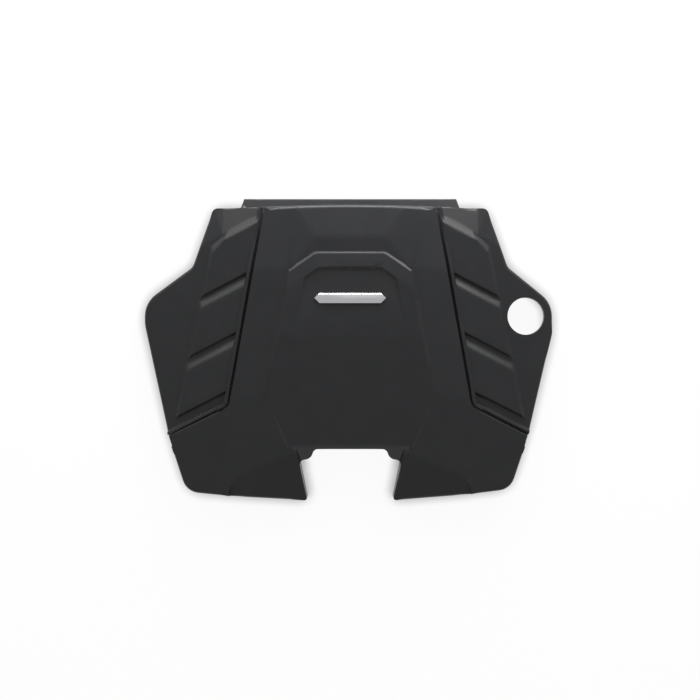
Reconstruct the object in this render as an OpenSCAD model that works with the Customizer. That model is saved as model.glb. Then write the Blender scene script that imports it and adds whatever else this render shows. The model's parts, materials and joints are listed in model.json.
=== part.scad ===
// Engine cover: a thin moulded shell with a raised shield, side louvres and front wings,
// a badge bar, and four rubber grommets that push down on ball studs.
// X runs to the right, Y to the rear and Z up. The lower edge of the shell lies on Z = 0.

/* [Shell] */
// Thickness of the moulded skin
wall = 3; // [2.5:0.25:3.5]
// Height of the stiffening ribs under the skin
rib_h = 6.5; // [6:0.5:9]
// Thickness of a stiffening rib
rib_w = 2; // [1.5:0.25:2.5]
// Spacing of the ribs
rib_pitch = 70; // [60:1:90]

/* [Outline] */
// Distance of the rear edge from the origin
rear_y = 209; // [205:0.5:214]
// How far the rear edge bows out between the grooves
rear_bow = 3.5; // [2:0.25:5]
// Half the width at the rear corners
rear_x = 201.5; // [196:0.5:206]
// Half the width at the waist, where the sides turn outwards
waist_x = 232.5; // [228:0.5:237]
// Distance of the waist from the origin, to the rear
waist_y = 122.5; // [116:0.5:128]
// Radius of the two side lobes
lobe_r = 40; // [38:0.5:44]
// Distance of the right lobe and the oil filler hole from the centre line
lobe_right_x = 259.5; // [257:0.5:262]
// Distance of the left lobe from the centre line
lobe_left_x = 265; // [262:0.5:267]
// Distance of the lobes from the origin, to the rear
lobe_y = 50; // [44:0.5:56]
// Distance of the front edge from the origin, at the notch
front_y = 222.5; // [219:0.5:227]
// How far the front edge falls back from the notch to the right corner
front_rake_right = 17; // [12:0.5:20]
// How far the front edge falls back from the notch to the left corner
front_rake_left = 13; // [9:0.5:18]
// How far the front edge bulges between the notch and a corner
front_bulge = 1.4; // [0.5:0.1:2.5]
// How far the right side runs straight from the lobe before it slopes in
shoulder_run_right = 24; // [18:0.5:30]
// How far the left side runs straight from the lobe before it slopes in
shoulder_run_left = 12; // [9:0.5:20]
// Radius where the sides begin to slope in
shoulder_r = 60; // [40:1:75]
// Radius of the rear corners
rear_corner_r = 10; // [6:0.5:14]
// Radius of the waist
waist_r = 16; // [10:0.5:24]
// Radius of the outer front corners
front_corner_r = 14; // [10:0.5:20]
// Radius of the corners at the mouth of the notch
notch_corner_r = 4; // [2:0.5:8]
// Half the width at the right front corner
front_right_x = 237; // [232:0.5:242]
// Half the width at the left front corner
front_left_x = 242; // [237:0.5:246]

/* [Front notch] */
// Distance of the back of the notch from the origin
notch_y = 145; // [141:0.5:149]
// Half the width of the notch at its back
notch_back_x = 78.5; // [75:0.5:81]
// Half the width of the notch at its mouth
notch_mouth_x = 63; // [58:0.5:68]
// Radius of the ears in the corners of the notch
ear_r = 12; // [10:0.5:14]
// How far the ears' centres lie in front of the back of the notch
ear_out = 3; // [1:0.5:5]
// Radius of the fillets beside the ears
ear_fillet = 8; // [4:0.5:9]
// Width of the lip along the back of the notch
notch_lip_w = 5.5; // [4:0.5:8]
// Rise of the lip above the shield
notch_lip_h = 1.6; // [1:0.1:2.5]
// Height of the arch under the back of the notch
notch_arch = 26; // [15:1:32]
// Height of the arch in the rear wall
rear_arch = 20; // [12:1:26]
// Half the width of the arch in the rear wall
rear_arch_x = 110; // [90:1:118]

/* [Heights] */
// Height of the centre panel at its rear crease
panel_z = 67; // [65:0.5:70]
// Height of the centre panel at the rear edge
panel_rear_z = 59.5; // [56:0.5:62]
// Height of the centre panel at the front end of its sides
panel_front_z = 60; // [58:0.5:62]
// Height of the centre panel at the grooves, abreast of the lobes
panel_groove_z = 56.2; // [55:0.1:57]
// Height of the centre panel at the rear ends of the grooves
panel_corner_z = 53.5; // [53:0.5:55]
// Distance of the centre panel's rear crease from the origin
crease_y = 165.5; // [160:0.5:170]
// Distance from the origin at which that crease reaches the grooves
crease_end_y = 118; // [112:1:126]
// Height of the wings above the shield at its front corners
wing_step = 4; // [3:0.5:5]
// Height of the tabs at the mouth of the notch
tab_z = 33; // [29:0.5:36]
// Height of the side lobes at the oil filler hole
lobe_z = 34; // [31:0.5:36]
// Height of the side panels at the rear end of the pads
side_z = 52; // [50:0.5:53]
// Height of the side panels at the groove corners
side_front_z = 45; // [43:0.5:47]

/* [Grooves] */
// Distance of the grooves from the centre line at the rear edge
groove_rear_x = 127; // [122:0.5:132]
// Distance of the groove corners from the centre line
groove_corner_x = 179; // [175:0.5:183]
// Distance of the groove corners from the origin, to the front
groove_corner_y = 81.5; // [78:0.5:86]
// Distance from the origin, to the front, at which the grooves reach the sides
groove_end_y = 125; // [121:0.5:130]
// How much further out than the lobes' centres the grooves end
groove_end_out = 4; // [2:0.5:6]
// Length of the relief in the side wall in front of a groove's end
relief_len = 18; // [12:1:24]
// Depth of that relief
relief_d = 1.25; // [0.5:0.25:2]
// Radius of the groove corners
groove_corner_r = 11; // [8:0.5:16]
// Width of the grooves
groove_w = 3; // [2.5:0.25:4]
// Width of the raised rails outside the grooves
rail_w = 5.5; // [4:0.5:7]
// Depth of the rails below the edge of the panel and the wings
rail_drop = 0.5; // [0.3:0.1:1]

/* [Louvre pads] */
// Number of pads on each side
pad_count = 3; // [2:1:3]
// Height of a pad above its side panel
pad_h = 5; // [4:0.25:5.5]
// Spacing of the pads along the groove
pad_pitch = 90; // [84:1:90]
// Length of the rear pad along the groove
pad_len = 72; // [64:1:74]
// How much shorter each next pad is
pad_shrink = 3; // [0:0.5:5]
// Angle of the pads' ends
pad_angle = 27; // [24:0.5:30]
// Distance of the rear pad's flat top from the origin
pad_start_y = 185.5; // [180:0.5:188]
// Length of the ramp up to a pad
ramp_len = 8.5; // [6:0.5:10]
// Distance of the plateau's outer crease from the centre line
plateau_x = 188; // [182:0.5:192]
// Distance of the pads' outer edge from the centre line, at its rear end
pad_out_rear_x = 201; // [198:0.5:204]
// Distance of that rear end from the origin
pad_out_rear_y = 153; // [148:0.5:158]
// Distance of the pads' outer edge from the centre line, at its front end
pad_out_front_x = 253; // [250:0.5:256]
// Distance of that front end from the origin, to the front
pad_out_front_y = 92; // [86:0.5:98]

/* [Shield] */
// Height of the shield above the centre panel at its rear edge
shield_rise = 2.4; // [2:0.1:3.5]
// Width in the plan of the sloping walls round the shield
shield_wall_w = 3.25; // [2:0.25:4]
// Half the width of the shield at its rear edge
shield_top_x = 50.5; // [46:0.5:55]
// Distance of the shield's rear edge from the origin
shield_top_y = 140.5; // [137:0.5:144]
// Half the width of the shield at its shoulders
shield_shoulder_x = 87; // [83:0.5:91]
// Distance of the shoulders from the origin
shield_shoulder_y = 115.5; // [111:0.5:119]
// Half the width of the shield at its widest
shield_wide_x = 121.5; // [118:0.5:125]
// Distance of the widest part from the origin, to the front
shield_wide_y = 60; // [56:0.5:64]
// Length of the shield's straight corner at its widest part
shield_corner_len = 14.5; // [10:0.5:20]
// Half the width of the shield at the back of the notch
shield_low_x = 87; // [84:0.5:92]
// Rise of the shield from its rear edge to the recess
border_up = 2; // [1:0.25:2.5]
// Distance from the origin at which the shield bends down to the front
shield_break_y = 20; // [5:1:35]
// Height of the shield at that bend
shield_break_z = 67.6; // [67:0.1:68.3]
// Rise of the shield above the panel at its widest part
shield_low_rise = 0.6; // [0.4:0.1:1]
// Depth of the recess at its rear edge
recess_depth = 4; // [3:0.25:4.5]
// Distance from the origin at which the recess runs out
recess_end_y = 42; // [36:1:48]
// Width of the border round the recess
border_w = 20; // [17:0.5:23]

/* [Rear lip] */
// How far the rear lip stands out
lip_len = 14; // [10:0.5:18]
// Half the width of the rear lip at its edge
lip_x = 156.5; // [150:0.5:162]
// Height of the rear lip at its root
lip_z = 40; // [36:0.5:41]
// Fall of the rear lip from its root to its edge
lip_fall = 4; // [2:0.25:5]

/* [Oil filler hole] */
// Radius of the oil filler hole
filler_r = 27.5; // [25:0.1:29]
// Thickness of the collar round the hole
collar_w = 3; // [2.5:0.25:4]
// Depth of the collar below the middle of the lobe
collar_h = 14; // [8:0.5:24]

/* [Badge] */
// Length of the badge bar
badge_len = 104; // [90:1:115]
// Width of the badge bar
badge_w = 15; // [12:0.5:18]
// Thickness of the badge bar
badge_h = 3.2; // [2.5:0.1:4]
// Width of the bevel along the badge
badge_bevel = 2; // [1:0.25:2.5]
// Length of the badge's pins below its back
badge_pin_len = 5; // [4:0.25:7]
// Distance of the badge from the origin
badge_y = 75.5; // [70:0.5:82]
// Radius of the badge's locating pins
badge_pin_r = 1.5; // [1.2:0.1:2]
// Distance of the pins from the middle of the badge
badge_pin_x = 35; // [25:1:38]

/* [Mounts] */
// Distance of the rear mounts from the centre line
mount_rear_x = 100; // [90:1:106]
// Distance of the rear mounts from the origin
mount_rear_y = 155; // [148:1:160]
// Distance of the front mounts from the centre line
mount_front_x = 125; // [118:1:132]
// Distance of the front mounts from the origin, to the front
mount_front_y = 150; // [142:1:156]
// Height of the lower end of the cups
cup_z = 8; // [7:0.5:12]
// Radius of a grommet's barrel
grommet_r = 12; // [11:0.25:13]
// Length of a grommet's barrel
grommet_len = 14; // [12:0.5:16]
// Thickness of a grommet's flange
flange_h = 2.5; // [2:0.25:3.5]
// Radius of the throat that the stud's neck passes
throat_r = 4.5; // [4:0.1:5]
// Length of the throat
throat_len = 5; // [4:0.25:6]
// Radius of the socket that holds the stud's ball
ball_r = 6; // [5.5:0.1:6.5]
// Thickness of the cups and of the towers' plates
tower_w = 2.5; // [2:0.25:3.5]
// Gap between a grommet and its cup, and between a pin and its hole
clearance = 0.15; // [0.1:0.05:0.25]

/* [Hidden] */

// Distance from the shield's foot to the inner end of a tab's crease
tab_back = 7;
// Distance of the crease's outer end from the centre line, and from the front edge
tab_out_x = 169;
tab_out_up = 35;
// How much narrower the recess's rear edge is than the shield's
recess_draw_in = 4;
// Slopes of the recess's walls and of the pads' ramps, steps and outer edges
recess_slope = 1;
ramp_slope = pad_h / ramp_len;
step_slope = 2.5;
edge_slope = 1.5;
// Slopes of the side panels behind the pads and of the rails outside the wings
rear_slope = 0.1;
plateau_slope = 0.22;
plateau_side_slope = 0.4;
rail_slope = 0.25;
// Corner that is cut off the rear pad
pad_cut_x = 15;
pad_cut_y = 8;
// How much wider the rear lip is at its root
lip_spread = 4.5;
// How far a plan runs on past the edge where its facets end it
overlap = 8;
// How far the side panels run on under the centre, so that they make the floor of the grooves
side_under = 12;
// Length with which a sloping facet is set out
reach = 10;
// Ribs on each side of the middle
rib_count = 4;

// Reach of the blocks that stand for a half space
far = 900;
// Height of the blocks from which the zones are cut
tall = 110;
// Steps in an arc of the outline
arc_steps = 6;
// How far a cutting tool runs past the faces that it cuts
past = 1;

function unit(v) = v / norm(v);
function across(points) = [for (i = [len(points) - 1:-1:0])
    let (p = points[i]) len(p) > 2 ? [-p.x, p.y, p[2]] : [-p.x, p.y]];
function turn(v, angle) = [v.x * cos(angle) - v.y * sin(angle), v.x * sin(angle) + v.y * cos(angle)];

// An arc of given radius that rounds the corner q between its neighbours p and s
function rounded(p, q, s, r) =
    let (u = unit(p - q), v = unit(s - q), half = acos(u * v) / 2,
         centre = q + unit(u + v) * r / sin(half),
         first = q + u * r / tan(half) - centre,
         sweep = (cross(u, v) > 0 ? 1 : -1) * (180 - 2 * half))
    [for (i = [0:arc_steps]) centre + turn(first, -sweep * i / arc_steps)];

// A closed outline from corners [x, y, radius]
function outline_of(corners) =
    let (n = len(corners), at = [for (c = corners) [c.x, c.y]])
    [for (i = [0:n - 1])
        let (arc = corners[i][2] == 0 ? [at[i]]
                 : rounded(at[(i + n - 1) % n], at[i], at[(i + 1) % n], corners[i][2]))
        for (p = arc) p];

// A facet is a sloping plane z = f[0] x + f[1] y + f[2]
function facet(p, q, r) =
    let (n = cross(q - p, r - p))
    [-n.x / n.z, -n.y / n.z, p.z + (n.x * p.x + n.y * p.y) / n.z];
function at_z(f, p) = f[0] * p.x + f[1] * p.y + f[2];
function on(f, p, above = 0) = [p.x, p.y, at_z(f, p) + above];
function flip_facet(f) = [-f[0], f[1], f[2]];
function raised(f, by) = [f[0], f[1], f[2] + by];

// Everything under a facet that is moved inwards by drop, square to the facet
module under(f, drop = 0) {
    lean = norm([f[0], f[1]]);
    translate([0, 0, f[2] - drop * sqrt(1 + lean * lean)])
        rotate(a = atan(lean), v = lean == 0 ? [1, 0, 0] : [f[1], -f[0], 0])
            translate([-far, -far, -far])
                cube([2 * far, 2 * far, far]);
}

// A zone of the form: the block over a plan that is drawn in by inset, under all of its facets
module zone(facets, inset = 0, drop = 0) {
    intersection() {
        linear_extrude(tall) offset(delta = -inset) children();
        intersection_for (f = facets) under(f, drop);
    }
}

// What is cut away over a plan that is widened by inset, above all of its facets
module above(facets, inset = 0, drop = 0) {
    difference() {
        linear_extrude(tall) offset(delta = inset) children();
        for (f = facets) under(f, drop);
    }
}

// The point beside the middle of an edge, on its right hand
function beside(p, q, by) =
    let (along = unit([q.x - p.x, q.y - p.y]))
    [(p.x + q.x) / 2 + along.y * by, (p.y + q.y) / 2 - along.x * by];

// A facet that holds an edge on the facet f and falls to the right hand of that edge
function falling(f, p, q, slope) =
    facet(on(f, p), on(f, q), on(f, beside(p, q, reach), -reach * slope));

// Where the line through p along u meets the line through q along v
function meet(p, u, q, v) = p + u * cross(q - p, v) / cross(u, v);

// Values of the right and the left side: the left one is drawn as a right one and mirrored
lobe_x = [lobe_right_x, lobe_left_x];
front_x = [front_right_x, front_left_x];
front_rake = [front_rake_right, front_rake_left];
shoulder_run = [shoulder_run_right, shoulder_run_left];

// The groove of a side runs from the rear edge to a corner and then out to the side
groove_corner = [groove_corner_x, -groove_corner_y];
groove_rear = [groove_rear_x, rear_y];
groove_along = unit(groove_corner - groove_rear);
function groove_x(y) = groove_rear_x + groove_along.x * (y - rear_y) / groove_along.y;
function groove_end(side) = [lobe_x[side] + groove_end_out, -groove_end_y];

// One side of the outline, from the rear corner to the notch
function lobe_arc(side) =
    let (centre = [lobe_x[side], lobe_y], away = [waist_x, waist_y] - centre,
         first = atan2(away.y, away.x) - acos(lobe_r / norm(away)))
    [for (i = [0:arc_steps]) [each centre + turn([lobe_r, 0], first * (1 - i / arc_steps)), 0]];
function front_middle(side) =
    [(front_x[side] + notch_mouth_x) / 2, front_rake[side] / 2 - front_y - front_bulge, 0];
function side_corners(side) = concat(
    [[rear_x, rear_y, rear_corner_r], [waist_x, waist_y, waist_r]],
    lobe_arc(side),
    [[lobe_x[side] + lobe_r, lobe_y - shoulder_run[side], shoulder_r],
     [each groove_end(side), 0],
     [front_x[side], front_rake[side] - front_y, front_corner_r],
     front_middle(side),
     [notch_mouth_x, -front_y, notch_corner_r],
     [notch_back_x, -notch_y, 0]]);
rear_edge = [for (i = [-arc_steps:arc_steps])
    let (t = i / arc_steps) [groove_rear_x * t, rear_y + rear_bow * (1 - t * t), 0]];
outline = outline_of(concat(rear_edge, side_corners(0), across(side_corners(1))));

// A shallow relief of the side wall in front of a groove's end
function relief(side) =
    let (start = groove_end(side), along = unit([front_x[side], front_rake[side] - front_y] - start),
         out = [-along.y, along.x])
    [start + out * past, start - out * relief_d, start + along * relief_len - out * relief_d,
     start + along * relief_len + out * past];

module outline_plan(inset = 0) {
    offset(delta = -inset)
        difference() {
            offset(r = -ear_fillet, $fn = 32) offset(delta = ear_fillet) {
                polygon(outline);
                for (x = [-1, 1])
                    translate([x * (notch_back_x - ear_r), -notch_y - ear_out])
                        circle(r = ear_r, $fn = 32);
            }
            polygon(relief(0));
            polygon(across(relief(1)));
        }
}

// The plan between the grooves of both sides, grown or drawn in
function between_half(side) =
    let (out = groove_end(side) + (groove_end(side) - groove_corner))
    [[groove_x(far / 2), far / 2, 0], [each groove_corner, groove_corner_r], [each out, 0], [out.x, -far, 0]];

module between_grooves(grow) {
    offset(delta = grow) polygon(outline_of(concat(between_half(0), across(between_half(1)))));
}

// Facets of the centre panel
shoulder = [shield_shoulder_x, shield_shoulder_y];
wide = [shield_wide_x, -shield_wide_y];
shield_top = [shield_top_x, shield_top_y];
panel = facet([0, crease_y, panel_z], [1, crease_y, panel_z], [0, wide.y, panel_front_z]);
flank = facet(on(panel, shoulder), on(panel, wide), [groove_x(lobe_y), lobe_y, panel_groove_z]);
panel_rear = facet([0, crease_y, panel_z], [1, crease_y, panel_z], [0, rear_y + rear_bow, panel_rear_z]);
crease_end = [groove_x(crease_end_y), crease_end_y];
panel_corner = facet(on(panel, [shield_top_x, crease_y]), on(flank, crease_end),
                     [groove_rear_x, rear_y, panel_corner_z]);

// Facets and plan of the shield
rim = raised(panel, shield_rise);
border_in = [shield_top_x - recess_draw_in, shield_top_y - border_w];
border_z = at_z(rim, shield_top) + border_up;
shield_main = facet([0, border_in.y, border_z], [1, border_in.y, border_z],
                    [0, shield_break_y, shield_break_z]);
shield_low = facet([0, shield_break_y, shield_break_z], [1, shield_break_y, shield_break_z],
                   [0, wide.y, panel_front_z + shield_low_rise]);
border_rear = facet(on(rim, [0, shield_top_y]), on(rim, [1, shield_top_y]), [0, border_in.y, border_z]);
border_corner = facet(on(rim, shield_top), on(rim, shoulder),
                      on(shield_main, beside(shield_top, shoulder, border_w)));
shield_foot = [shield_low_x, -notch_y];
shield_front = [wide, wide - [0, shield_corner_len], shield_foot];

// Walls that fall from the shield's rear, corner and side edges to the panel
side_break = wide + (shoulder - wide) * (wide.y - shield_break_y) / (wide.y - shoulder.y);
rear_wall_slope = shield_rise / shield_wall_w;
side_wall_slope = (shield_break_z - at_z(panel, side_break)) / shield_wall_w;
shield_side_walls = [falling(border_corner, shoulder, shield_top, rear_wall_slope),
                     falling(shield_main, side_break, shoulder, side_wall_slope),
                     falling(shield_low, wide, side_break, side_wall_slope)];
shield_facets = concat(
    [shield_main, shield_low, border_rear, border_corner, flip_facet(border_corner),
     falling(border_rear, shield_top, across([shield_top])[0], rear_wall_slope)],
    shield_side_walls, [for (f = shield_side_walls) flip_facet(f)]);

module shield_plan() {
    grow = shield_wall_w + past;
    half = concat([shield_top + [grow / 2, grow], shoulder + [grow, grow / 2], side_break + [grow, 0]],
                  shield_front);
    polygon(concat(half, across(half)));
}

// Where the shield and the ears drop below the panel, between the walls of the wings
wing_wall = falling(shield_low, shield_foot, shield_front[1], -wing_step / shield_wall_w);

module shield_front_plan() {
    half = [shield_front[0], shield_front[1], shield_foot + [2 * shield_wall_w, 0],
            [notch_back_x, -notch_y], [notch_mouth_x, -front_y]];
    polygon(concat(half, across(half)));
}

// The recess is cut out of the shield above its floor and its sloping walls
recess_floor = facet([0, border_in.y, border_z - recess_depth], [1, border_in.y, border_z - recess_depth],
                     on(shield_main, [0, recess_end_y]));
recess_shoulder = [shield_shoulder_x - border_w, shield_shoulder_y - border_w / 2];
recess_foot = recess_shoulder + (wide - shoulder) / 2;

module recess(inset, drop) {
    half = [border_in, recess_shoulder, recess_foot];
    rear_wall = falling(shield_main, across([border_in])[0], border_in, recess_slope);
    corner_wall = falling(shield_main, border_in, recess_shoulder, recess_slope);
    side_wall = falling(shield_main, recess_shoulder, recess_foot, recess_slope);
    above([recess_floor, rear_wall, corner_wall, side_wall, flip_facet(corner_wall), flip_facet(side_wall)],
          inset, drop)
        polygon(concat(half, across(half)));
}

// The lip along the back of the notch rises towards the front, and runs out over the ears
lip_start_y = notch_lip_w - notch_y;
notch_lip = facet(on(shield_low, [0, lip_start_y]), on(shield_low, [1, lip_start_y]),
                  on(shield_low, [0, -notch_y], notch_lip_h));

module notch_lip_plan() {
    half = [[shield_foot.x, lip_start_y], shield_foot, [notch_back_x, -notch_y],
            [notch_back_x - ear_r, -notch_y - ear_out - 2 * ear_r]];
    polygon(concat(half, across(half)));
}

// A wing falls to the front and the side from its crease with the flank, and stands above the shield's foot.
// The tab in front of a second crease is cut down to the mouth of the notch.
wing = facet(on(flank, wide), on(flank, groove_corner), on(shield_low, shield_foot, wing_step));
tab_in = shield_foot - [0, tab_back];
tab_out = [tab_out_x, tab_out_up - front_y];
tab = facet(on(wing, tab_in), on(wing, tab_out), [notch_mouth_x, -front_y, tab_z]);
centre_facets = [panel, flank, panel_rear, panel_corner, wing, flip_facet(flank), flip_facet(panel_corner),
                 flip_facet(wing)];

module tab_plan() {
    polygon([tab_in, tab_out, tab_out + [tab_out_up / 4, -tab_out_up / 2], [tab_out.x, -far], [0, -far],
             [0, tab_in.y]]);
}

// Facets of a side panel: the panel itself and the strip that falls to the rear edge
side_panel = facet([groove_x(pad_start_y), pad_start_y, side_z], [each groove_corner, side_front_z],
                   [lobe_right_x, lobe_y, lobe_z]);
pad_across = turn([1, 0], -pad_angle);
pad_normal = turn([0, 1], -pad_angle);
function pad_point(y) = [groove_x(y) + groove_w / 2 + rail_w, y];
pad_foot = pad_point(pad_start_y) + pad_normal * ramp_len;
plateau_front = meet(pad_foot, pad_across, [plateau_x, 0], [0, 1]);
side_rear = falling(side_panel, plateau_front, pad_foot, rear_slope);
plateau = falling(side_panel, plateau_front, pad_foot, plateau_slope);
plateau_side = falling(plateau, plateau_front, plateau_front + [0, reach], -plateau_side_slope);

module side_plan() {
    difference() {
        translate([0, -far]) square([far, 2 * far]);
        between_grooves(-side_under);
    }
}

module plateau_plan() {
    polygon([pad_foot - pad_across * far, pad_foot + pad_across * far, [far, far], [-far, far]]);
}

// Facets and plan of a pad: flat top, ramp at the rear, steep step at the front, sloping outer edge
pad_top = raised(side_panel, pad_h);
pad_out_rear = [pad_out_rear_x, pad_out_rear_y];
pad_out_along = unit([pad_out_front_x, -pad_out_front_y] - pad_out_rear);
function pad_rear(i) = pad_point(pad_start_y - pad_pitch * i);
function pad_front(i) = pad_point(pad_start_y - pad_pitch * i - pad_len + pad_shrink * i);
function pad_facets(i) = concat(
    [pad_top,
     falling(pad_top, pad_rear(i) + pad_across, pad_rear(i), ramp_slope),
     falling(pad_top, pad_front(i), pad_front(i) + pad_across, step_slope),
     falling(pad_top, pad_out_rear + pad_out_along, pad_out_rear, edge_slope)],
    i == 0 ? [falling(pad_top, pad_out_rear + pad_out_along * pad_cut_y,
                      pad_out_rear - [pad_cut_x, -pad_cut_y], (ramp_slope + edge_slope) / 2)] : []);

module pad_plan(i) {
    ends = [pad_rear(i) + pad_normal * (ramp_len + overlap / 2), pad_front(i) - pad_normal * overlap / 2];
    inner = [groove_x(0) + (groove_w + rail_w) / 2, 0];
    outer = pad_out_rear + [overlap / 2, 0];
    polygon([meet(ends[0], pad_across, inner, groove_along),
             meet(ends[0], pad_across, outer, pad_out_along),
             meet(ends[1], pad_across, outer, pad_out_along),
             meet(ends[1], pad_across, inner, groove_along)]);
}

// Facets and plan of the rail outside a groove
rail_corner = on(flank, groove_corner, -rail_drop);
rail_start = on(flank, crease_end, -rail_drop);
rail_side = facet(rail_start, rail_corner,
                  [each beside(rail_start, rail_corner, -reach), (rail_start.z + rail_corner.z) / 2]);
rail_rear = facet(rail_start, [groove_rear_x, rear_y, panel_corner_z - rail_drop],
                  rail_start + [reach, 0, 0]);
function rail_front(side) =
    let (end = on(wing, groove_end(side), -rail_drop))
    facet(rail_corner, end,
          [each beside(rail_corner, end, -reach), (rail_corner.z + end.z) / 2 - reach * rail_slope]);

module rail_plan() {
    difference() {
        between_grooves(groove_w / 2 + rail_w);
        between_grooves(groove_w / 2);
    }
}

// The half of the plan on the front side of the line that splits the groove's corner
module before_corner() {
    split = unit(unit(groove_end(0) - groove_corner) - groove_along);
    polygon([groove_corner - split * overlap, groove_corner + split * far, [far, -far],
             [groove_corner.x, -far]]);
}

// All that lies on one side, for the outer form and, drawn in and lowered, for the hollow
module side_form(side, inset, drop) {
    difference() {
        zone([side_panel, side_rear], inset, drop) side_plan();
        above([plateau, plateau_side], inset, drop) plateau_plan();
    }
    if (2 * inset < rail_w) {
        zone([rail_side, rail_rear], inset, drop)
            difference() {
                intersection() {
                    rail_plan();
                    translate([0, -far]) square([far, 2 * far]);
                }
                before_corner();
            }
        zone([rail_front(side)], inset, drop)
            intersection() {
                rail_plan();
                before_corner();
            }
    }
    for (i = [0:pad_count - 1])
        zone(pad_facets(i), inset, drop) pad_plan(i);
}

// The form of the cover: outline, centre and both sides
module form(edge = 0, inset = 0, drop = 0) {
    intersection() {
        linear_extrude(tall) outline_plan(edge);
        union() {
            difference() {
                zone(centre_facets, inset, drop) between_grooves(-groove_w / 2);
                above([shield_low, wing_wall, flip_facet(wing_wall)], inset, drop) shield_front_plan();
                for (x = [0, 1])
                    mirror([x, 0, 0]) above([tab], inset, drop) tab_plan();
            }
            difference() {
                zone(shield_facets, inset, drop) shield_plan();
                recess(inset, drop);
            }
            zone([notch_lip], inset, drop) notch_lip_plan();
            side_form(0, inset, drop);
            mirror([1, 0, 0]) side_form(1, inset, drop);
        }
    }
}

// Stiffening ribs in a grid, as a plan
module rib_plan() {
    for (i = [-rib_count:rib_count]) {
        translate([i * rib_pitch - rib_w / 2, -far / 2]) square([rib_w, far]);
        translate([-far / 2, i * rib_pitch - rib_w / 2]) square([far, rib_w]);
    }
}

// A mount tower: crossed plates from the skin down to a plate and a cup
mounts = [[mount_front_x, -mount_front_y], [mount_rear_x, mount_rear_y]];
seat_z = cup_z + grommet_len;
cup_r = grommet_r + clearance + tower_w;

module tower(at) {
    translate([at.x, at.y, cup_z])
        difference() {
            cylinder(h = grommet_len + tower_w, r = cup_r, $fn = 64);
            translate([0, 0, -past])
                cylinder(h = grommet_len + past, r = grommet_r + clearance, $fn = 64);
        }
    intersection() {
        translate([at.x, at.y, seat_z])
            for (a = [0, 90])
                rotate(a) translate([-cup_r, -tower_w / 2, 0]) cube([2 * cup_r, tower_w, tall]);
        intersection_for (f = centre_facets) under(f, wall / 2);
    }
}

// The collar hangs from the skin round the oil filler hole
module collar() {
    intersection() {
        translate([lobe_right_x, lobe_y, lobe_z - collar_h])
            cylinder(h = tall, r = filler_r + collar_w, $fn = 96);
        under(side_panel, wall / 2);
    }
}

// The rear lip is a plate that falls away from the rear wall
module rear_lip() {
    lip = facet([0, rear_y, lip_z], [1, rear_y, lip_z], [0, rear_y + lip_len, lip_z - lip_fall]);
    root = lip_x + lip_spread;
    difference() {
        zone([lip])
            polygon([[-root, rear_y - wall], [root, rear_y - wall], [root, rear_y], [lip_x, rear_y + lip_len],
                     [-lip_x, rear_y + lip_len], [-root, rear_y]]);
        under(lip, wall);
    }
}

// Places of the badge's pins
badge_pins = [for (x = [-1, 1]) [x * badge_pin_x, badge_y, 0]];

// The skin with its ribs: the form, hollowed between the ribs and, deeper down, all over
module skin() {
    difference() {
        form();
        difference() {
            form(edge = wall, inset = wall, drop = wall);
            linear_extrude(tall) rib_plan();
        }
        form(edge = wall, drop = wall + rib_h);
    }
}

// Arches in the lower edge of the shell, at the back of the notch and at the rear
module arches() {
    notch_half = notch_back_x - wall;
    ears_front = notch_y + ear_out + ear_r + past;
    translate([-notch_half, -ears_front, -past])
        cube([2 * notch_half, ears_front - notch_y + 2 * wall, notch_arch + past]);
    translate([-rear_arch_x, rear_y - 2 * wall, -past]) cube([2 * rear_arch_x, far, rear_arch + past]);
}

module cover_shell() color([0.13, 0.13, 0.135]) {
    difference() {
        union() {
            skin();
            collar();
            rear_lip();
            for (x = [0, 1], at = mounts)
                mirror([x, 0, 0]) tower(at);
        }
        translate([lobe_right_x, lobe_y, -past]) cylinder(h = tall, r = filler_r, $fn = 96);
        for (p = badge_pins) translate(p) cylinder(h = tall, r = badge_pin_r + clearance, $fn = 32);
        arches();
    }
}

// The badge: a bar with pointed ends and a bevelled rear edge, on two pins
module badge() color([0.78, 0.78, 0.8]) {
    half_len = badge_len / 2;
    half_w = badge_w / 2;
    half = [[half_len - half_w, half_w], [half_len, 0], [half_len - half_w, -half_w]];
    top = raised(recess_floor, badge_h);
    bevel = on(top, [0, badge_y + half_w - badge_bevel]);
    difference() {
        zone([top, facet(bevel, bevel + [1, 0, 0], bevel + [0, badge_bevel, -badge_bevel])])
            translate([0, badge_y]) polygon(concat(half, across(half)));
        under(recess_floor);
    }
    for (p = badge_pins)
        translate([p.x, p.y, at_z(recess_floor, p) - badge_pin_len])
            cylinder(h = badge_pin_len + badge_h / 2, r = badge_pin_r, $fn = 32);
}

// A grommet: barrel and flange round a throat and a ball socket, as one turned profile
module grommet(at) color([0.08, 0.08, 0.085]) {
    socket_z = throat_len + sqrt(ball_r * ball_r - throat_r * throat_r);
    translate([at.x, at.y, cup_z - flange_h])
        difference() {
            union() {
                cylinder(h = flange_h, r = cup_r, $fn = 64);
                cylinder(h = flange_h + grommet_len, r = grommet_r, $fn = 64);
            }
            translate([0, 0, -past]) cylinder(h = socket_z + past, r = throat_r, $fn = 48);
            translate([0, 0, socket_z]) sphere(r = ball_r, $fn = 48);
        }
}

module grommet_front_left() grommet([-mount_front_x, -mount_front_y]);
module grommet_front_right() grommet([mount_front_x, -mount_front_y]);
module grommet_rear_left() grommet([-mount_rear_x, mount_rear_y]);
module grommet_rear_right() grommet([mount_rear_x, mount_rear_y]);

cover_shell();
badge();
grommet_front_left();
grommet_front_right();
grommet_rear_left();
grommet_rear_right();
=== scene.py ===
# %% [markdown]
# An engine cover, seen from straight above
# The cover is one black plastic moulding with a grained skin, with a bar of plated plastic on top
# and four rubber grommets below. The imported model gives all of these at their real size, with sharp
# edges and no finish. This script rounds the edges and gives each piece the looks of its material.
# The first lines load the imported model, and everything after them is built around it.

import json
import math

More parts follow.
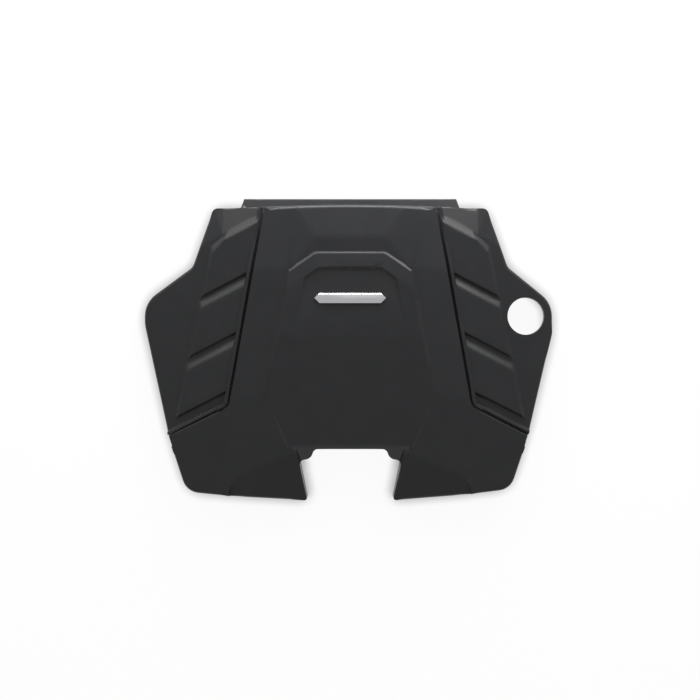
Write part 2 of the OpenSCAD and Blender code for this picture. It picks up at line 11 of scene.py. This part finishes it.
import bmesh
import bpy
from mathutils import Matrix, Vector, kdtree
from mathutils.bvhtree import BVHTree

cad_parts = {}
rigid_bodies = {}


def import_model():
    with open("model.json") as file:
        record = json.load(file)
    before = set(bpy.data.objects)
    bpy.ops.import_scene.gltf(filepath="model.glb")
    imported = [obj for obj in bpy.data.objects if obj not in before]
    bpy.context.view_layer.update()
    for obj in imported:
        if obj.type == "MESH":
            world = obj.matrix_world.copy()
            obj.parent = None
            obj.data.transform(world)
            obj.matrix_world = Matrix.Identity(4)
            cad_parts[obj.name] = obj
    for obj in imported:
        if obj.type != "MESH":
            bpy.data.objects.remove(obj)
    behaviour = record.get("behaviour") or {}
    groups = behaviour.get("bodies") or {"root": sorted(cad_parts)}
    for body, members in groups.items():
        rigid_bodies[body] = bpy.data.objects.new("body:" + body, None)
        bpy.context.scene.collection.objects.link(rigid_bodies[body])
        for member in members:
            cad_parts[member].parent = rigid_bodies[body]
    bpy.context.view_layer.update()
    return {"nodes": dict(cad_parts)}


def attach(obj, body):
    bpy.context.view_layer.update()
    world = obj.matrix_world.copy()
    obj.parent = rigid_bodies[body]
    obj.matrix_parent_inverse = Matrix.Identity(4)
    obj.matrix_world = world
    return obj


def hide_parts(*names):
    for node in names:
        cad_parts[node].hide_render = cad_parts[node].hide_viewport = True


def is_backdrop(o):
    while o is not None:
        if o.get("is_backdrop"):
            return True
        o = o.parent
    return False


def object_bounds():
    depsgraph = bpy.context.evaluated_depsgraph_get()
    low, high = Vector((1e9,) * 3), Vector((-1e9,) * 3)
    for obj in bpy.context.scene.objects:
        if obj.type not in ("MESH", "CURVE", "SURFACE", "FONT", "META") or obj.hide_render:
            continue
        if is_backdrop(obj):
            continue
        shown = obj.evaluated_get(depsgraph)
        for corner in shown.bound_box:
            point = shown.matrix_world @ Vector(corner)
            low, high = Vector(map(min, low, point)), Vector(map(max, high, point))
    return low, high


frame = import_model()
MM = 0.001

# %% [markdown]
# The camera hangs two metres above the floor and looks straight down, with the rear of the cover at
# the top of the picture. It comes first, because all the rest is judged through it.
# Its angle is worked out from the width of floor that the picture takes in. It hangs a hair to the
# left of the middle, so that the cover lies where it does in the photo.

# %% Camera
CAMERA_HEIGHT = 2.0
SEEN_WIDTH = 1.05175
CAMERA_LEFT = -0.3 * MM

camera_data = bpy.data.cameras.new("overhead_camera")
camera_data.angle = 2 * math.atan(SEEN_WIDTH / 2 / CAMERA_HEIGHT)
camera = bpy.data.objects.new("overhead_camera", camera_data)
camera.location = (CAMERA_LEFT, 0, CAMERA_HEIGHT)
bpy.context.scene.collection.objects.link(camera)
bpy.context.scene.camera = camera
print("camera angle in degrees:", round(math.degrees(camera_data.angle), 2))

# %% [markdown]
# The shell is the black moulding itself. Its solid has sharp edges, and a real moulding has none:
# every edge has a small radius, which the light draws as a thin line.
# A trick of the shading could soften the edges too, but then the outline and the steps would stay
# sharp from the side. So the mesh is copied, and real roundings are cut into the copy.
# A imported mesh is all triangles, and some are thin slivers. The slivers are cleared away and the rest
# are merged into whole flat faces first, because a rounding can only run cleanly along an edge
# between two whole faces.
# The floor of the recess has two holes for the badge's pins. One straight cut through both keeps
# that floor in two simple halves, for a face can't be whole round a hole.

# %% Copy the shell and merge its triangles into faces
MERGE_WITHIN = 0.02 * MM
SLIVER = 0.04 * MM
SLIVER_ROUNDS = 3
FLAT_WITHIN = math.radians(0.3)
PIN_X = 35 * MM
PIN_Y = 75.5 * MM
RECESS_HALF = 90 * MM
RECESS_LOWEST = 60 * MM


def select_only(thing):
    """Deselect everything, then select one object and make it the active one."""
    bpy.ops.object.select_all(action="DESELECT")
    thing.select_set(True)
    bpy.context.view_layer.objects.active = thing


def own_copy(node, name):
    """A copy of a node's mesh as a piece of its own, without doubled corners and slivers."""
    select_only(frame["nodes"][node])
    bpy.ops.object.duplicate()
    piece = bpy.context.active_object
    piece.name = piece.data.name = name
    bpy.ops.object.parent_clear(type="CLEAR_KEEP_TRANSFORM")
    for key in list(piece.keys()):
        del piece[key]
    piece.data.materials.clear()
    bpy.ops.mesh.customdata_custom_splitnormals_clear()
    bpy.ops.object.mode_set(mode="EDIT")
    bpy.ops.mesh.select_all(action="SELECT")
    bpy.ops.mesh.remove_doubles(threshold=MERGE_WITHIN)
    for _ in range(SLIVER_ROUNDS):
        bpy.ops.mesh.dissolve_degenerate(threshold=SLIVER)
        bpy.ops.mesh.quads_convert_to_tris()
    bpy.ops.object.mode_set(mode="OBJECT")
    return piece


shell = own_copy("cover_shell", "shell")
bpy.ops.object.mode_set(mode="EDIT")
bpy.ops.mesh.select_all(action="SELECT")
bpy.ops.mesh.bisect(plane_co=(0, PIN_Y, 0), plane_no=(0, 1, 0))
mesh = bmesh.from_edit_mesh(shell.data)
for edge in mesh.edges:
    inside = all(abs(v.co.x) < RECESS_HALF and v.co.z > RECESS_LOWEST for v in edge.verts)
    edge.seam = edge.select and inside
bmesh.update_edit_mesh(shell.data)
bpy.ops.mesh.select_all(action="SELECT")
bpy.ops.mesh.dissolve_limited(angle_limit=FLAT_WITHIN, delimit={"SEAM"})
bpy.ops.object.mode_set(mode="OBJECT")
print("shell:", len(shell.data.vertices), "corners,", len(shell.data.polygons), "faces")

# %% [markdown]
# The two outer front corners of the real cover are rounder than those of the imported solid. A rounded
# corner keeps its two straight sides when all its points move away from its middle in the same
# measure, so no face has to be cut. Each point stays on its sloping face while it moves.
# Each corner is given by its sharp tip, where its two sides would meet, and by the middle of its
# rounding in the solid, both seen from above and in mm.

# %% Make the outer front corners rounder
LEFT_TIP, LEFT_MIDDLE = (-242, -209.5), (-231.49, -196.37)
RIGHT_TIP, RIGHT_MIDDLE = (237, -205.5), (226.5, -192.6)
OLD_ROUND = 14 * MM
ROUNDER_BY = 12 * MM
WALL = 3 * MM
ROUND_WALL = 0.2
NEAR_CORNER = 17 * MM


def round_corner(piece, tip, middle):
    """Widen the rounded corner between a tip and a middle, on the outer and the inner wall."""
    tip, middle = Vector(tip) * MM, Vector(middle) * MM
    new_middle = tip + (middle - tip) * (1 + ROUNDER_BY / OLD_ROUND)
    mesh = bmesh.new()
    mesh.from_mesh(piece.data)
    moved = {}
    for v in mesh.verts:
        out = v.co.xy - middle
        outermost = OLD_ROUND + ROUND_WALL * WALL
        innermost = OLD_ROUND - (1 + ROUND_WALL) * WALL
        on_wall = innermost < out.length < outermost
        if not on_wall or (v.co.xy - tip).length > NEAR_CORNER:
            continue
        place = new_middle + out.normalized() * (out.length + ROUNDER_BY)
        step = Vector((*(place - v.co.xy), 0))
        leaning = max((f.normal for f in v.link_faces), key=lambda n: abs(n.z))
        step.z = -leaning.dot(step) / leaning.z
        moved[v] = v.co + step
    for v, place in moved.items():
        v.co = place
    mesh.to_mesh(piece.data)
    mesh.free()
    piece.data.update()
    print("front corner:", len(moved), "points moved")


round_corner(shell, LEFT_TIP, LEFT_MIDDLE)
round_corner(shell, RIGHT_TIP, RIGHT_MIDDLE)

# %% [markdown]
# Only the edges that show from outside are rounded. A face belongs to the outside when nothing of the
# shell lies above some part of it, which is tried with straight ways up from just off the face.
# Long edges are cut into short ones first, so that a rounding can grow narrower along an edge, where
# a step runs out. Upright edges aren't cut, so that a wall stays whole down to its foot and leaves
# all its height to the rounding above it.

# %% Find the outer edges and cut the long ones
SHORT = 14 * MM
START_OFF = 0.3 * MM
CUTTING_ROUNDS = (8, 4, 2, 1)
STEEP = 0.9
FACING_DOWN = -0.01


def direction(edge):
    """The direction of an edge."""
    return (edge.verts[1].co - edge.verts[0].co).normalized()


def outer_edges(mesh):
    """The edges between two faces that both see the sky."""
    tree = BVHTree.FromBMesh(mesh)
    up = Vector((0, 0, 1))
    outside = set()
    for corners in mesh.calc_loop_triangles():
        face = corners[0].face
        if face in outside or face.normal.z < FACING_DOWN:
            continue
        start = sum((c.vert.co for c in corners), Vector()) / 3 + face.normal * START_OFF
        if tree.ray_cast(start + up * START_OFF, up)[0] is None:
            outside.add(face)
    return [e for e in mesh.edges if len(e.link_faces) == 2 and set(e.link_faces) <= outside]


select_only(shell)
bpy.ops.object.mode_set(mode="EDIT")
bpy.ops.mesh.select_mode(type="EDGE")
for times in CUTTING_ROUNDS:
    bpy.ops.mesh.select_all(action="DESELECT")
    mesh = bmesh.from_edit_mesh(shell.data)
    for edge in outer_edges(mesh):
        edge.select = edge.calc_length() > SHORT * times and abs(direction(edge).z) < STEEP
    bpy.ops.mesh.subdivide(number_cuts=1)
bpy.ops.object.mode_set(mode="OBJECT")
print("shell:", len(shell.data.vertices), "corners after cutting the long edges")

# %% [markdown]
# Each kind of edge has its own width of rounding. A crease between two facets turns little and is
# soft on the real cover. The ramps and the walls of the recess are softer than the steps, and so is
# the outer rim. The high rear edge of the centre panel is softer still, and it draws the light line
# at the top of the photo. A corner that runs up a slope, as at the end of a ramp, is as soft.
# A rounding also needs room: it takes less than half of the way to the nearest corner of the face
# beside it. A corner that lies far past the end of the edge and little to its side doesn't count.

# %% Give each outer edge the width of its rounding
WIDEST = 8 * MM
CREASE = 5 * MM
SLOPE = 3 * MM
STEP = 2.2 * MM
RIM = 4.5 * MM
REAR = 6 * MM
CORNER = 6 * MM
UPRIGHT = 1 * MM
REAR_DROP = 15 * MM
FLAT_TURN = math.radians(1.5)
CREASE_TURN = math.radians(20)
SLOPE_TURN = math.radians(48)
SLOPING = 0.25
SHARE_OF_ROOM = 0.42
BESIDE = 0.5
IN_LINE = math.cos(math.radians(1))
NO_LIMIT = 1.0
PIN_RIM = 2.5 * MM


def in_line(face, edge):
    """An edge of a face, with the straight sides that start at both its ends."""
    found = {edge}
    start = next(loop for loop in face.loops if loop.edge == edge)
    for step in ("link_loop_next", "link_loop_prev"):
        loop = getattr(start, step)
        side = direction(loop.edge)
        while loop.edge not in found and abs(side.dot(direction(loop.edge))) > IN_LINE:
            found.add(loop.edge)
            loop = getattr(loop, step)
    return found


def room_beside(edge, face):
    """The distance from an edge to the nearest corner of a face that lies beside it, not in line."""
    a = edge.verts[0].co
    along, length = direction(edge), edge.calc_length()
    own = in_line(face, edge)
    best = NO_LIMIT
    for other in face.edges:
        if other in own:
            continue
        for v in other.verts:
            beside = v.co - a
            ahead = beside.dot(along)
            past_end = max(-ahead, ahead - length, 0.0)
            across = (beside - along * ahead).length
            if across > BESIDE * past_end:
                best = min(best, math.hypot(across, past_end))
    return best


def at_a_pin(edge):
    """Whether an edge belongs to the rim of a hole for a pin, which the badge covers."""
    centres = [Vector((x, PIN_Y)) for x in (-PIN_X, PIN_X)]
    return any(all((v.co.xy - c).length < PIN_RIM for v in edge.verts) for c in centres)


def rear_drop(edge):
    """How far the shell drops from an edge down to the rear lip behind it, or 0 for other edges."""
    backs = [f for f in edge.link_faces if f.normal.y > STEEP]
    if not backs:
        return 0.0
    foot = min(v.co.z for v in backs[0].verts)
    return edge.verts[0].co.z - foot if foot > MM else 0.0


def rounding(edge):
    """How wide an edge is rounded: by its kind, and by the room beside it."""
    turn = edge.calc_face_angle()
    along = direction(edge)
    if turn < FLAT_TURN or at_a_pin(edge):
        return 0.0
    if abs(along.z) > STEEP:
        return UPRIGHT if turn > CREASE_TURN else 0.0
    if turn < CREASE_TURN:
        width = CREASE
    elif abs(along.z) > SLOPING:
        width = CORNER
    elif rear_drop(edge) > REAR_DROP:
        width = REAR
    elif min(v.co.z for f in edge.link_faces for v in f.verts) < MM:
        width = RIM
    else:
        width = SLOPE if turn < SLOPE_TURN else STEP
    return min(width, SHARE_OF_ROOM * min(room_beside(edge, f) for f in edge.link_faces))


mesh = bmesh.new()
mesh.from_mesh(shell.data)
weights = mesh.edges.layers.float.new("bevel_weight_edge")
for edge in outer_edges(mesh):
    edge[weights] = rounding(edge) / WIDEST
print("edges to round:", sum(edge[weights] > 0 for edge in mesh.edges))
mesh.to_mesh(shell.data)
mesh.free()

ROUND_STEPS = 3
bevel = shell.modifiers.new("rounding", "BEVEL")
bevel.limit_method = "WEIGHT"
bevel.width = WIDEST
bevel.segments = ROUND_STEPS
bevel.use_clamp_overlap = False

# %% [markdown]
# Where many edges meet at flat angles, two roundings can run into each other and fold the mesh.
# Narrower roundings everywhere would avoid that, but the cover would look too sharp. So the rounded
# mesh is tried, its folds are found, and only the edges near a fold are narrowed, a few times over:
# the soft creases between facets give way first, since the eye misses them least.
# A fold shows in two ways: as an edge that turns back sharply, and as a face that crosses itself.
# Sharp turns that the mesh has before any rounding belong to its shape and don't count.

# %% Narrow the roundings where they fold
FOLD_TURN = math.radians(115)
OLD_FOLD_NEAR = 1 * MM
NEAR_FOLD = 2.5 * MM
NEAR_WIDTHS = 1.3
NARROWER = 0.6
NARROWEST = 0.15 * MM
TRIES = 20
CREASE_TRIES = 2
TINY_AREA = 1e-17
HAS_NORMAL = 0.5


def side_of(a, b, p):
    """Twice the area of a flat triangle, positive where p lies left of the way from a to b."""
    return (b[0] - a[0]) * (p[1] - a[1]) - (b[1] - a[1]) * (p[0] - a[0])


def sides_cross(a, b, c, d):
    """Whether the side from a to b crosses the side from c to d."""
    return (side_of(a, b, c) * side_of(a, b, d) < -TINY_AREA
            and side_of(c, d, a) * side_of(c, d, b) < -TINY_AREA)


def self_crossings(face):
    """The corners at which the outline of a face crosses itself, seen along its normal."""
    across = face.normal.orthogonal().normalized()
    up = face.normal.cross(across)
    flat = [(v.co.dot(across), v.co.dot(up)) for v in face.verts]
    count = len(flat)
    found = []
    for i in range(count):
        a, b = flat[i], flat[(i + 1) % count]
        for j in range(i + 2, count):
            c, d = flat[j], flat[(j + 1) % count]
            apart = max(c[0], d[0]) < min(a[0], b[0]) or min(c[0], d[0]) > max(a[0], b[0])
            if not apart and (j + 1) % count != i and sides_cross(a, b, c, d):
                found += [face.verts[i].co.copy(), face.verts[j].co.copy()]
    return found


def folds(data):
    """The places where a mesh folds back on itself."""
    mesh = bmesh.new()
    mesh.from_mesh(data)
    found = [(e.verts[0].co + e.verts[1].co) / 2 for e in mesh.edges
             if len(e.link_faces) == 2 and e.calc_face_angle(0) > FOLD_TURN]
    for face in mesh.faces:
        if len(face.verts) > 3 and face.normal.length > HAS_NORMAL:
            found += self_crossings(face)
    mesh.free()
    return found


def tree_of(points):
    """A tree that finds the nearest of some points."""
    tree = kdtree.KDTree(len(points))
    for i, p in enumerate(points):
        tree.insert(p, i)
    tree.balance()
    return tree


def narrow(data, near_folds, only_creases):
    """Narrow the roundings of the edges that lie near a fold."""
    mesh = bmesh.new()
    mesh.from_mesh(data)
    weights = mesh.edges.layers.float["bevel_weight_edge"]
    for edge in mesh.edges:
        width = edge[weights] * WIDEST
        if width == 0 or only_creases and edge.calc_face_angle(0) > CREASE_TURN:
            continue
        a, b = (v.co for v in edge.verts)
        to_fold = min(near_folds.find(p)[2] for p in (a, b, (a + b) / 2))
        if to_fold < max(NEAR_FOLD, NEAR_WIDTHS * width):
            edge[weights] *= NARROWER if width > NARROWEST else 0
    mesh.to_mesh(data)
    mesh.free()
    data.update()


old_folds = tree_of(folds(shell.data))
for attempt in range(TRIES):
    rounded = shell.evaluated_get(bpy.context.evaluated_depsgraph_get())
    new_folds = [p for p in folds(rounded.to_mesh()) if old_folds.find(p)[2] > OLD_FOLD_NEAR]
    rounded.to_mesh_clear()
    print("try", attempt + 1, "folds:", len(new_folds))
    if not new_folds:
        break
    narrow(shell.data, tree_of(new_folds), attempt < CREASE_TRIES)

# %% Cut the roundings into the shell
SMOOTH_UP_TO = math.radians(35)

select_only(shell)
bpy.ops.object.modifier_apply(modifier=bevel.name)
bpy.ops.object.shade_smooth_by_angle(angle=SMOOTH_UP_TO)
even = shell.modifiers.new("even_shading", "WEIGHTED_NORMAL")
even.keep_sharp = True
bpy.ops.object.modifier_apply(modifier=even.name)
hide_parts("cover_shell")
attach(shell, "root")
print("shell:", sum(len(p.vertices) - 2 for p in shell.data.polygons), "triangles")

# %% [markdown]
# The badge is a bar of plated plastic, and the four grommets are moulded rubber parts under the shell.
# Both have small even roundings, so a plain Bevel modifier with an angle limit does for them. The
# limit is wide enough to leave the facets of their round walls alone.

# %% Round the badge and the grommets
GROMMETS = ("grommet_front_left", "grommet_front_right", "grommet_rear_left", "grommet_rear_right")
SMALL_ROUND = 0.4 * MM
SMALL_STEPS = 2
SHARP_FROM = math.radians(30)


def softened(node, name):
    """An own copy of a node with small rounded edges, in the node's place."""
    piece = own_copy(node, name)
    bpy.ops.object.mode_set(mode="EDIT")
    bpy.ops.mesh.select_all(action="SELECT")
    bpy.ops.mesh.dissolve_limited(angle_limit=FLAT_WITHIN)
    bpy.ops.object.mode_set(mode="OBJECT")
    round_off = piece.modifiers.new("rounding", "BEVEL")
    round_off.limit_method = "ANGLE"
    round_off.angle_limit = SHARP_FROM
    round_off.width = SMALL_ROUND
    round_off.segments = SMALL_STEPS
    bpy.ops.object.modifier_apply(modifier=round_off.name)
    bpy.ops.object.shade_smooth_by_angle(angle=SMOOTH_UP_TO)
    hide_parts(node)
    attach(piece, "root")
    print(name + ":", len(piece.data.polygons), "faces")
    return piece


badge_bar = softened("badge", "badge_bar")
rubbers = [softened(node, node + "_rubber") for node in GROMMETS]

# %% [markdown]
# The plastic is black with a fine grain that the mould was etched with. The grain is far smaller than
# the facets, so it is a bump and not part of the mesh. A moulding is never quite even either: a slow
# noise moves its tone and its shine a little from place to place.
# The plating is satin: a noise stretched along the bar stands for its polishing lines.
# The rubber is dull and slightly blotched.

# %% Materials
NOISE_LOW, NOISE_HIGH = 0.3, 0.7


def shader_of(name):
    """A new material with its nodes, and its shader."""
    material = bpy.data.materials.new(name)
    material.use_nodes = True
    return material, material.node_tree.nodes["Principled BSDF"]


def noise(material, scale, stretch=(1, 1, 1), detail=2):
    """A noise in the object's own coordinates, as its outgoing value."""
    nodes, links = material.node_tree.nodes, material.node_tree.links
    place = nodes.new("ShaderNodeTexCoord")
    mapping = nodes.new("ShaderNodeMapping")
    mapping.inputs["Scale"].default_value = stretch
    texture = nodes.new("ShaderNodeTexNoise")
    texture.inputs["Scale"].default_value = scale
    texture.inputs["Detail"].default_value = detail
    links.new(place.outputs["Object"], mapping.inputs["Vector"])
    links.new(mapping.outputs["Vector"], texture.inputs["Vector"])
    return texture.outputs["Fac"]


def between(material, value, low, high, socket):
    """Lead a noise to a socket as a number between low and high."""
    spread = material.node_tree.nodes.new("ShaderNodeMapRange")
    spread.inputs["From Min"].default_value = NOISE_LOW
    spread.inputs["From Max"].default_value = NOISE_HIGH
    spread.inputs["To Min"].default_value = low
    spread.inputs["To Max"].default_value = high
    material.node_tree.links.new(value, spread.inputs["Value"])
    material.node_tree.links.new(spread.outputs["Result"], socket)


def tinted(material, value, dark, light, socket):
    """Lead a noise to a socket as a colour between dark and light."""
    mix = material.node_tree.nodes.new("ShaderNodeMix")
    mix.data_type = "RGBA"
    mix.inputs["A"].default_value = (*dark, 1)
    mix.inputs["B"].default_value = (*light, 1)
    between(material, value, 0, 1, mix.inputs["Factor"])
    material.node_tree.links.new(mix.outputs["Result"], socket)


def bumped(material, value, depth, strength, shader):
    """Lead a noise to a shader as a bump of a given depth."""
    bump = material.node_tree.nodes.new("ShaderNodeBump")
    bump.inputs["Distance"].default_value = depth
    bump.inputs["Strength"].default_value = strength
    material.node_tree.links.new(value, bump.inputs["Height"])
    material.node_tree.links.new(bump.outputs["Normal"], shader.inputs["Normal"])


plastic, shader = shader_of("grained_black_plastic")
shader.inputs["Specular IOR Level"].default_value = 0.35
tone = noise(plastic, scale=30)
tinted(plastic, tone, dark=(0.0165, 0.017, 0.0185), light=(0.019, 0.0195, 0.021),
       socket=shader.inputs["Base Color"])
shine = noise(plastic, scale=18)
between(plastic, shine, low=0.34, high=0.4, socket=shader.inputs["Roughness"])
grain = noise(plastic, scale=1200, detail=4)
bumped(plastic, grain, depth=0.05 * MM, strength=0.3, shader=shader)
shell.data.materials.append(plastic)

plating, shader = shader_of("satin_plating")
shader.inputs["Metallic"].default_value = 1
tone = noise(plating, scale=60)
tinted(plating, tone, dark=(0.76, 0.76, 0.78), light=(0.8, 0.8, 0.82),
       socket=shader.inputs["Base Color"])
lines = noise(plating, scale=1500, stretch=(0.03, 1, 1))
between(plating, lines, low=0.2, high=0.3, socket=shader.inputs["Roughness"])
bumped(plating, lines, depth=0.01 * MM, strength=0.4, shader=shader)
badge_bar.data.materials.append(plating)

rubber, shader = shader_of("dull_rubber")
tone = noise(rubber, scale=200)
tinted(rubber, tone, dark=(0.026, 0.026, 0.027), light=(0.034, 0.034, 0.035),
       socket=shader.inputs["Base Color"])
shine = noise(rubber, scale=400)
between(rubber, shine, low=0.7, high=0.85, socket=shader.inputs["Roughness"])
blotches = noise(rubber, scale=2500)
bumped(rubber, blotches, depth=0.03 * MM, strength=0.3, shader=shader)
for piece in rubbers:
    piece.data.materials.append(rubber)
print("materials:", [m.name for m in (plastic, plating, rubber)])

# %% [markdown]
# The cover lies on a white floor that shines a little for the camera, as on a light table. So the
# floor stays white to the edge of the picture, and it is so wide that a low view sees little else.
# Shiny and clear materials see it as the camera does. All other light meets plain white paper.
# Close to the cover the glow is dimmed by how much the moulding covers the floor within a short
# reach: that is a painted shadow that seats the cover, not one that the studio light casts. A little
# dull paper is mixed in, and it takes the real shadows that the lamps cast.

# %% Floor, with a painted shadow close to the cover
FLOOR_SIZE = 60
PAPER_WHITE = 0.85
SHADOW_SHARE = 0.08
SHADOW_REACH = 20 * MM
# Amounts of cover, and the glow in the painted shadow and on the open floor.
COVERED, OPEN = 0.5, 0.95
GLOW_IN_PAINTED_SHADOW, GLOW_OPEN = 0.45, 0.93


def dull_surface(nodes, brightness):
    """A dull surface between black at 0 and white at 1."""
    surface = nodes.new("ShaderNodeBsdfDiffuse")
    surface.inputs["Color"].default_value = (brightness, brightness, brightness, 1)
    return surface


def glow_with_painted_shadow(nodes, links):
    """A glow that is weaker where something stands close by: a painted shadow around the cover."""
    openness = nodes.new("ShaderNodeAmbientOcclusion")
    openness.inputs["Distance"].default_value = SHADOW_REACH
    strength = nodes.new("ShaderNodeMapRange")
    strength.inputs["From Min"].default_value = COVERED
    strength.inputs["From Max"].default_value = OPEN
    strength.inputs["To Min"].default_value = GLOW_IN_PAINTED_SHADOW
    strength.inputs["To Max"].default_value = GLOW_OPEN
    glow = nodes.new("ShaderNodeEmission")
    links.new(openness.outputs["AO"], strength.inputs["Value"])
    links.new(strength.outputs["Result"], glow.inputs["Strength"])
    return glow


def seen_by_camera(nodes, links):
    """1 for what the camera sees, straight or in a shiny or clear surface, and 0 for other light."""
    ray = nodes.new("ShaderNodeLightPath")
    seen = ray.outputs["Is Camera Ray"]
    for kind in ("Is Glossy Ray", "Is Transmission Ray"):
        either = nodes.new("ShaderNodeMath")
        either.operation = "MAXIMUM"
        links.new(seen, either.inputs[0])
        links.new(ray.outputs[kind], either.inputs[1])
        seen = either.outputs["Value"]
    return seen


bpy.ops.mesh.primitive_plane_add(size=FLOOR_SIZE, location=(0, 0, 0))
floor = bpy.context.active_object
floor.name = "floor"
floor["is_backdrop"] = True
paper = bpy.data.materials.new("white_floor")
paper.use_nodes = True
nodes, links = paper.node_tree.nodes, paper.node_tree.links
nodes.clear()
glowing = nodes.new("ShaderNodeAddShader")
links.new(dull_surface(nodes, SHADOW_SHARE).outputs["BSDF"], glowing.inputs[0])
# The glow carries the painted shadow near the cover.
links.new(glow_with_painted_shadow(nodes, links).outputs["Emission"], glowing.inputs[1])
either_floor = nodes.new("ShaderNodeMixShader")
links.new(seen_by_camera(nodes, links), either_floor.inputs["Fac"])
links.new(dull_surface(nodes, PAPER_WHITE).outputs["BSDF"], either_floor.inputs[1])
links.new(glowing.outputs["Shader"], either_floor.inputs[2])
surface = nodes.new("ShaderNodeOutputMaterial")
links.new(either_floor.outputs["Shader"], surface.inputs["Surface"])
floor.data.materials.append(paper)
print("floor:", FLOOR_SIZE, "m wide")

# %% [markdown]
# The light comes from softboxes behind the cover. Two stand at half height, and the right one is
# stronger: they draw the wide light bands on the ramps. One stands low, and only the rounded rear
# edges mirror it to the camera, as thin light lines. A weak one hangs high and lifts the flat
# facets a little. The rest is an even white sky. Lamps at the sides are left out on purpose: they
# put light lines on the walls of the recess, and those are dark in the photo.
# The softboxes stand close, so the rear of the cover gets more of their light than its front does.

# %% Sky and softboxes
SKY_STRENGTH = 0.49
SOFTBOX_FAR = 1.3

world = bpy.data.worlds.new("white_sky")
world.use_nodes = True
sky = world.node_tree.nodes["Background"]
sky.inputs["Color"].default_value = (1, 1, 1, 1)
sky.inputs["Strength"].default_value = SKY_STRENGTH
bpy.context.scene.world = world


def softbox(name, azimuth, elevation, width, height, power):
    """A large lamp at two angles in degrees, turned to the middle of the cover."""
    lamp_data = bpy.data.lights.new(name, "AREA")
    lamp_data.shape = "RECTANGLE"
    lamp_data.size = width
    lamp_data.size_y = height
    lamp_data.energy = power
    lamp = bpy.data.objects.new(name, lamp_data)
    turn, up = math.radians(azimuth), math.radians(elevation)
    towards = Vector((math.cos(turn) * math.cos(up), math.sin(turn) * math.cos(up), math.sin(up)))
    lamp.location = towards * SOFTBOX_FAR
    lamp.rotation_euler = (-lamp.location).to_track_quat("-Z", "Y").to_euler()
    bpy.context.scene.collection.objects.link(lamp)
    print(name, "at", [round(x, 2) for x in lamp.location])


softbox("softbox_rear_right", azimuth=60, elevation=24, width=0.65, height=0.8, power=10.5)
softbox("softbox_rear_left", azimuth=122, elevation=26, width=0.8, height=0.8, power=6)
softbox("softbox_rear", azimuth=90, elevation=8, width=0.9, height=0.35, power=15)
softbox("softbox_above", azimuth=90, elevation=65, width=0.65, height=0.65, power=0.3)
bpy.context.scene.view_settings.view_transform = "Standard"

# %% [markdown]
# A rounding cuts an outer edge down and fills an inner one a little, and neither reaches past the
# faces beside it. So the dressed cover lies inside the box of the imported model. The box of the
# dressed cover is printed.

# %% Sizes
dressed_box = [list(corner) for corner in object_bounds()]
in_mm = [[round(x / MM, 1) for x in corner] for corner in dressed_box]
print("box of the dressed cover in mm:", in_mm)
